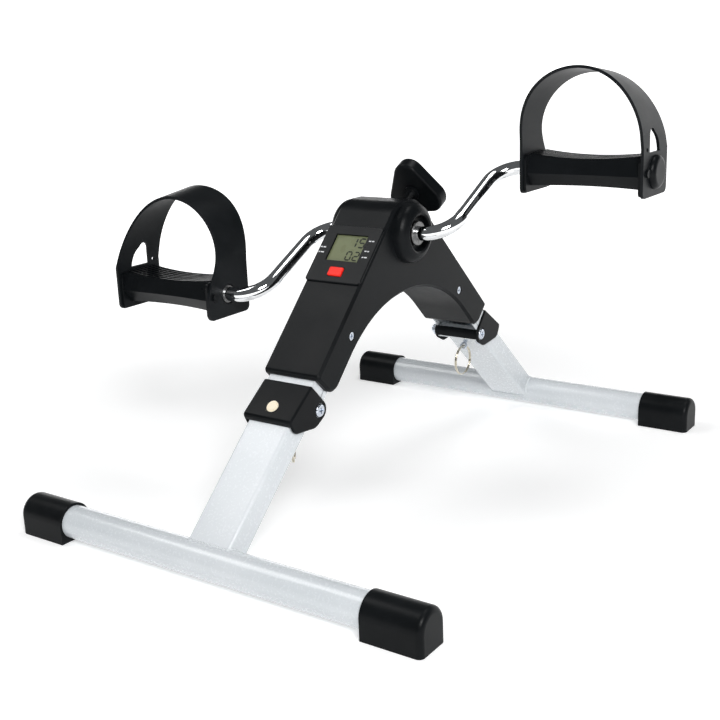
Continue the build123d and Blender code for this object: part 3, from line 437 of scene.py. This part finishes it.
# ------------------------------------------------------------------ camera
camera = bpy.data.objects.new("camera", bpy.data.cameras.new("camera"))
bpy.context.scene.collection.objects.link(camera)
CAMERA_X, CAMERA_Y, CAMERA_Z = 0.53647, -0.79200, 0.38278
azimuth, elevation, roll = radians(35.49), radians(16.036), radians(-2.368)
ahead = Vector((-sin(azimuth) * cos(elevation), cos(azimuth) * cos(elevation), -sin(elevation)))
level = ahead.cross(Vector((0, 0, 1))).normalized()
above = level.cross(ahead)
across = level * cos(roll) + above * sin(roll)
upward = above * cos(roll) - level * sin(roll)
camera.matrix_world = Matrix((
    (across.x, upward.x, -ahead.x, CAMERA_X),
    (across.y, upward.y, -ahead.y, CAMERA_Y),
    (across.z, upward.z, -ahead.z, CAMERA_Z),
    (0, 0, 0, 1),
))
camera.data.sensor_width = 36
camera.data.lens = 56.675
camera.data.clip_start = 0.05
camera.data.clip_end = 40
bpy.context.scene.camera = camera

# ------------------------------------------------------------------ studio
bpy.context.scene.view_settings.view_transform = "Standard"
world = bpy.data.worlds.new("studio")
bpy.context.scene.world = world
world.use_nodes = True
world.node_tree.nodes["Background"].inputs["Color"].default_value = (0.93, 0.97, 1, 1)
world.node_tree.nodes["Background"].inputs["Strength"].default_value = 0.11


STAGE_WHITE = 0.80
NEAR_GLOW = 0.36  # of the floor beside the object
FAR_GLOW = 1.1
GLOW_START, GLOW_FULL = 0.35, 1.3  # distances between which the glow rises
STAGE_EDGE = 9
WALL = 8.9
WALL_FOOT, WALL_TOP = -1, 3.2
SIDE_END = -2
FLOOR_Z = -0.0002


def add_stage(name, corners, glow):
    """Flat white stage sheet whose own light rises with the distance from the object."""
    shape = bmesh.new()
    shape.faces.new([shape.verts.new(corner) for corner in corners])
    mesh = bpy.data.meshes.new(name)
    shape.to_mesh(mesh)
    shape.free()
    sheet = bpy.data.objects.new(name, mesh)
    bpy.context.scene.collection.objects.link(sheet)
    material, tree, shader = new_material(f"{name}_white", (STAGE_WHITE,) * 3, 0.9)
    shader.inputs["Specular IOR Level"].default_value = 0.0
    shader.inputs["Emission Color"].default_value = (1, 1, 1, 1)
    place = tree.nodes.new("ShaderNodeTexCoord")
    distance = tree.nodes.new("ShaderNodeVectorMath")
    distance.operation = "LENGTH"
    tree.links.new(place.outputs["Object"], distance.inputs[0])
    strength = add_range(
        tree, distance.outputs["Value"], glow, FAR_GLOW, GLOW_START, GLOW_FULL
    )
    tree.links.new(strength, shader.inputs["Emission Strength"])
    mesh.materials.append(material)


add_stage("floor", (
    (-STAGE_EDGE, -STAGE_EDGE, FLOOR_Z),
    (STAGE_EDGE, -STAGE_EDGE, FLOOR_Z),
    (STAGE_EDGE, STAGE_EDGE, FLOOR_Z),
    (-STAGE_EDGE, STAGE_EDGE, FLOOR_Z),
), NEAR_GLOW)
add_stage("backdrop", (
    (-STAGE_EDGE, WALL, WALL_FOOT),
    (STAGE_EDGE, WALL, WALL_FOOT),
    (STAGE_EDGE, WALL, WALL_TOP),
    (-STAGE_EDGE, WALL, WALL_TOP),
), FAR_GLOW)
add_stage("side_drop", (
    (-WALL, STAGE_EDGE, WALL_FOOT),
    (-WALL, SIDE_END, WALL_FOOT),
    (-WALL, SIDE_END, WALL_TOP),
    (-WALL, STAGE_EDGE, WALL_TOP),
), FAR_GLOW)


def softbox(name, spot, aim, size, power):
    """Rectangular studio light."""
    data = bpy.data.lights.new(name, "AREA")
    data.shape = "RECTANGLE"
    data.size, data.size_y = size
    data.energy = power
    lamp = bpy.data.objects.new(name, data)
    lamp.location = spot
    lamp.rotation_euler = (Vector(aim) - Vector(spot)).to_track_quat("-Z", "Y").to_euler()
    bpy.context.scene.collection.objects.link(lamp)


softbox("key", (1.2, -1.15, 1.2), (0, -0.1, 0.1), (0.7, 0.6), 29)
softbox("sheen", (-1.15, -0.55, 1.75), (0, -0.05, 0.2), (0.8, 0.8), 9)
softbox("top", (0.3, 0.5, 2.2), (0, 0, 0.15), (1.0, 0.7), 10)
